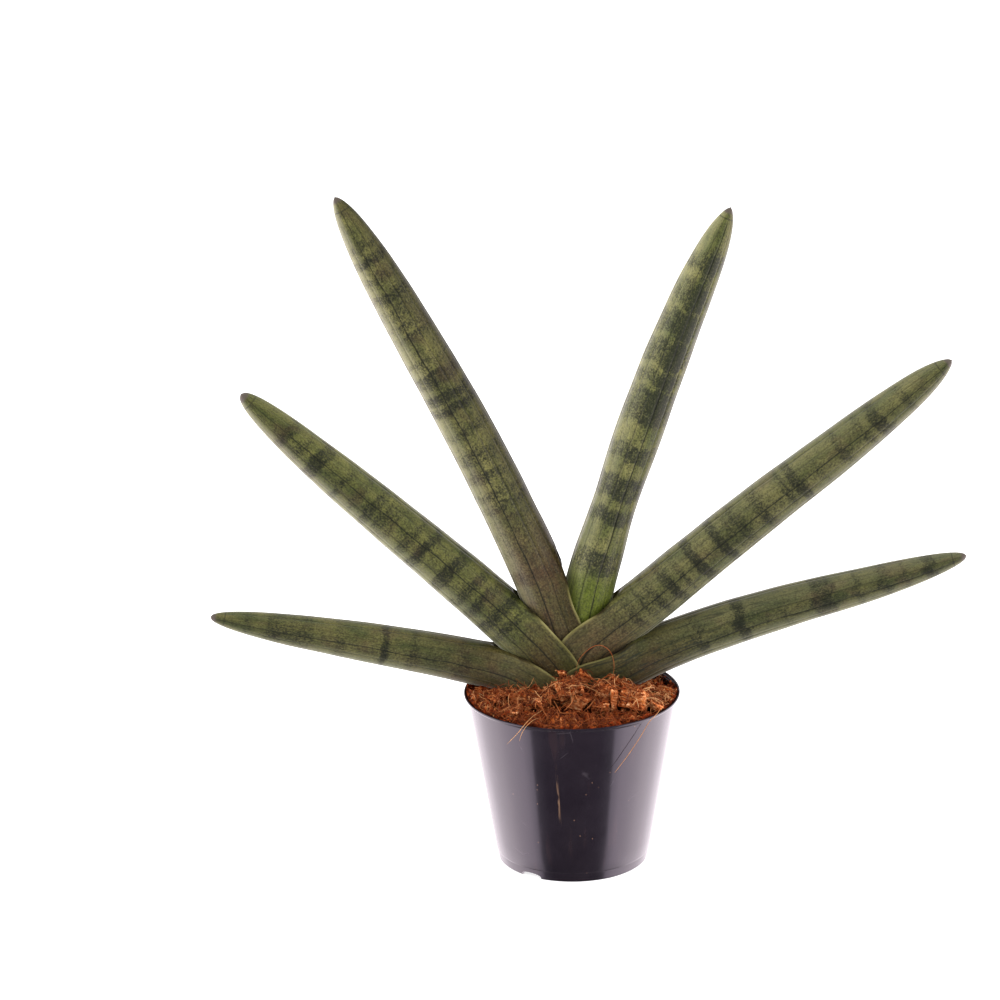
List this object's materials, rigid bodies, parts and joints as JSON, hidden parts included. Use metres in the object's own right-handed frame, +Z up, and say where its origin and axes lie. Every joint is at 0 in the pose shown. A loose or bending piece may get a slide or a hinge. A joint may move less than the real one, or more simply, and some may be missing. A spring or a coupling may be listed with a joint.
{
  "type": "cylindrical snake plant",
  "caption": "Potted succulent: stiff, nearly round, banded leaves spread in a flat fan from clasping bases, set in coir in a tapered plastic nursery pot.",
  "frame": {"origin": "on the pot's axis, at the level the pot stands on", "axes": "+Z up; +X along the fan of leaves, towards the longer of the two lowest leaves; Y through the fan, with the front of the fan facing -Y"},
  "size_m": [0.4189, 0.12, 0.3799],
  "materials": {
    "pot_plastic": "satin",
    "coir": "matte",
    "crown": "matte",
    "young_leaf": "satin",
    "leaf": "satin"
  },
  "bodies": {
    "root": {"pot": "pot_plastic", "coir": "coir", "crown_with_roots": "crown", "leaf_high_right": "young_leaf", "leaf_high_left": "leaf", "leaf_mid_right": "leaf", "leaf_mid_left": "leaf", "leaf_low_right": "leaf", "leaf_low_left": "leaf"}
  },
  "joints": []
}
